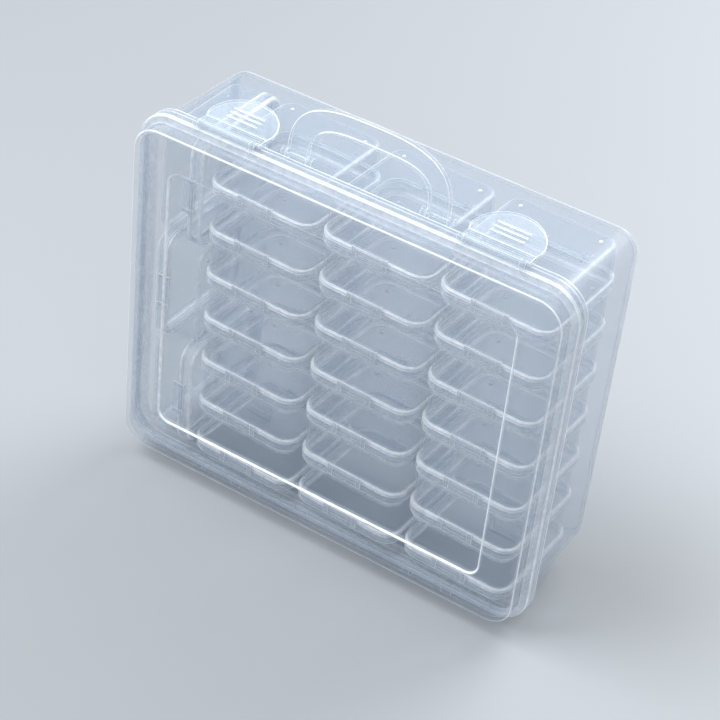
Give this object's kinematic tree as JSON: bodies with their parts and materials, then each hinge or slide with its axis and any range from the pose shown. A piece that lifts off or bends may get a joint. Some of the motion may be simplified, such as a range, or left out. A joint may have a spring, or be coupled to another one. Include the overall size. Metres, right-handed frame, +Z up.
{
  "type": "compartment organizer box",
  "caption": "Clear hinged carrying case with two latches and a fold-down handle, filled with small square flip-top boxes.",
  "frame": {"origin": "on the ground, below the middle of the case", "axes": "+X along the width to the right as seen from the lid, +Y from the lid to the back of the body, +Z up to the handle"},
  "size_m": [0.2064, 0.068, 0.2036],
  "materials": {
    "case_plastic": "clear moulded polypropylene, lightly hazed",
    "latch_plastic": "clear moulded polypropylene",
    "handle_plastic": "clear moulded polypropylene",
    "small_base_plastic": "clear moulded polypropylene, lightly hazed",
    "small_lid_plastic": "clear moulded polypropylene, lightly hazed"
  },
  "bodies": {
    "case": {"case_body": "case_plastic", "small_box_01_base": "small_base_plastic", "small_box_01_lid": "small_lid_plastic", "small_box_02_base": "small_base_plastic", "small_box_02_lid": "small_lid_plastic", "small_box_03_base": "small_base_plastic", "small_box_03_lid": "small_lid_plastic", "small_box_04_base": "small_base_plastic", "small_box_04_lid": "small_lid_plastic", "small_box_05_base": "small_base_plastic", "small_box_05_lid": "small_lid_plastic", "small_box_06_base": "small_base_plastic", "small_box_06_lid": "small_lid_plastic", "small_box_07_base": "small_base_plastic", "small_box_07_lid": "small_lid_plastic", "small_box_08_base": "small_base_plastic", "small_box_08_lid": "small_lid_plastic", "small_box_09_base": "small_base_plastic", "small_box_09_lid": "small_lid_plastic", "small_box_10_base": "small_base_plastic", "small_box_10_lid": "small_lid_plastic", "small_box_11_base": "small_base_plastic", "small_box_11_lid": "small_lid_plastic", "small_box_12_base": "small_base_plastic", "small_box_12_lid": "small_lid_plastic", "small_box_13_base": "small_base_plastic", "small_box_13_lid": "small_lid_plastic", "small_box_14_base": "small_base_plastic", "small_box_14_lid": "small_lid_plastic", "small_box_15_base": "small_base_plastic", "small_box_15_lid": "small_lid_plastic", "small_box_16_base": "small_base_plastic", "small_box_16_lid": "small_lid_plastic", "small_box_17_base": "small_base_plastic", "small_box_17_lid": "small_lid_plastic", "small_box_18_base": "small_base_plastic", "small_box_18_lid": "small_lid_plastic", "small_box_19_base": "small_base_plastic", "small_box_19_lid": "small_lid_plastic", "small_box_20_base": "small_base_plastic", "small_box_20_lid": "small_lid_plastic", "small_box_21_base": "small_base_plastic", "small_box_21_lid": "small_lid_plastic", "small_box_22_base": "small_base_plastic", "small_box_22_lid": "small_lid_plastic", "small_box_23_base": "small_base_plastic", "small_box_23_lid": "small_lid_plastic", "small_box_24_base": "small_base_plastic", "small_box_24_lid": "small_lid_plastic"},
    "lid": {"case_lid": "case_plastic"},
    "latch_left": {"latch_left": "latch_plastic"},
    "latch_right": {"latch_right": "latch_plastic"},
    "handle": {"carry_handle": "handle_plastic"}
  },
  "joints": [
    {"name": "lid_hinge", "type": "hinge", "parent": "case", "child": "lid", "pos_m": [0, -0.02275, 0.0021], "axis": [1, 0, 0], "range_deg": [0, 180]},
    {"name": "latch_left_hinge", "type": "hinge", "parent": "lid", "child": "latch_left", "pos_m": [-0.062, -0.0246, 0.1787], "axis": [1, 0, 0], "range_deg": [0, 150]},
    {"name": "latch_right_hinge", "type": "hinge", "parent": "lid", "child": "latch_right", "pos_m": [0.062, -0.0246, 0.1787], "axis": [1, 0, 0], "range_deg": [0, 150]},
    {"name": "handle_hinge", "type": "hinge", "parent": "case", "child": "handle", "pos_m": [0, -0.0154, 0.1759], "axis": [1, 0, 0], "range_deg": [-87, 40]}
  ]
}
